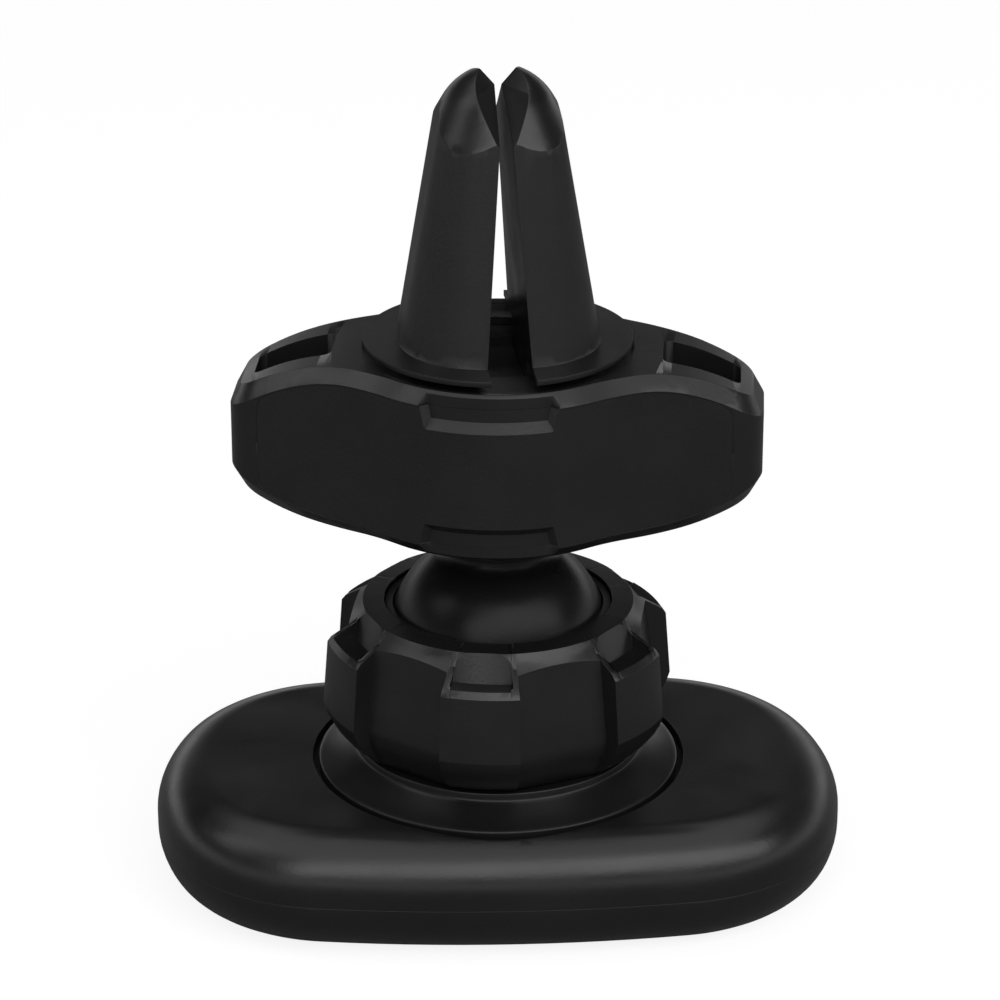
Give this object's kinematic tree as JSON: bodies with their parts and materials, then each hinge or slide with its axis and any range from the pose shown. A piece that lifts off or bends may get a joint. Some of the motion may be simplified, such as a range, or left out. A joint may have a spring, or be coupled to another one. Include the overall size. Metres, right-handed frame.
{
  "type": "magnetic vent phone holder",
  "caption": "Pillow-shaped magnetic phone head under a ball joint with a ribbed clamp nut, and a wing-shaped swivel clip whose two sprung, tapering jaws grip a vent slat.",
  "frame": {"origin": "centre of the phone face, the flat underside of the pad that the phone lies against", "axes": "+Z from the phone face through the ball to the tips of the jaws, +X along the head's length and the clip body's arms, -Y towards the side with the bare front fascia"},
  "size_m": [0.063, 0.0404, 0.0769],
  "materials": {
    "black_plastic": "fine-grained satin black",
    "bearing_plastic": "smooth dark grey",
    "soft_pad": "dull",
    "steel": "zinc-plated",
    "plated_magnet": "nickel-plated"
  },
  "bodies": {
    "head": {"head_cover": "black_plastic", "head_tray": "black_plastic", "face_pad": "soft_pad", "yoke_plate": "steel", "magnets": "plated_magnet", "ball_socket": "black_plastic", "socket_screws": "steel"},
    "nut": {"clamp_nut": "black_plastic"},
    "collar": {"friction_collar": "bearing_plastic"},
    "ball": {"ball": "black_plastic"},
    "clip": {"neck_post": "black_plastic", "ball_screw": "steel", "clip_lower_shell": "black_plastic", "clip_upper_shell": "black_plastic", "front_fascia": "black_plastic", "rear_fascia": "black_plastic", "shell_screws": "steel", "swivel_washer": "bearing_plastic"},
    "turret": {"turret": "black_plastic", "hinge_pins": "steel", "jaw_spring": "steel"},
    "jaw_left": {"jaw_left": "black_plastic"},
    "jaw_right": {"jaw_right": "black_plastic"}
  },
  "joints": [
    {"name": "nut_turn", "type": "hinge", "parent": "head", "child": "nut", "pos_m": [0, 0, 0.02], "axis": [0, 0, 1], "range_deg": [0, 330]},
    {"name": "ball_turn", "type": "hinge", "parent": "head", "child": "collar", "pos_m": [0, 0, 0.0232], "axis": [0, 0, 1], "continuous": true},
    {"name": "ball_tilt", "type": "hinge", "parent": "collar", "child": "ball", "pos_m": [0, 0, 0.0232], "axis": [1, 0, 0], "range_deg": [-30, 30]},
    {"name": "clip_spin", "type": "hinge", "parent": "ball", "child": "clip", "pos_m": [0, 0, 0.0232], "axis": [0, 0, 1], "continuous": true},
    {"name": "clip_swivel", "type": "hinge", "parent": "clip", "child": "turret", "pos_m": [0, 0, 0.0455], "axis": [0, 0, 1], "continuous": true},
    {"name": "jaw_left_open", "type": "hinge", "parent": "turret", "child": "jaw_left", "pos_m": [-0.00598, -0.00052, 0.0468], "axis": [0.0872, -0.9962, 0], "range_deg": [0, 4.5], "stiffness_Nm_per_rad": 0.1, "springref_deg": -11.46, "deforming": ["jaw_spring"]},
    {"name": "jaw_right_open", "type": "hinge", "parent": "turret", "child": "jaw_right", "pos_m": [0.00598, 0.00052, 0.0468], "axis": [-0.0872, 0.9962, 0], "range_deg": [0, 4.5], "stiffness_Nm_per_rad": 0.1, "springref_deg": -11.46, "deforming": ["jaw_spring"]}
  ]
}
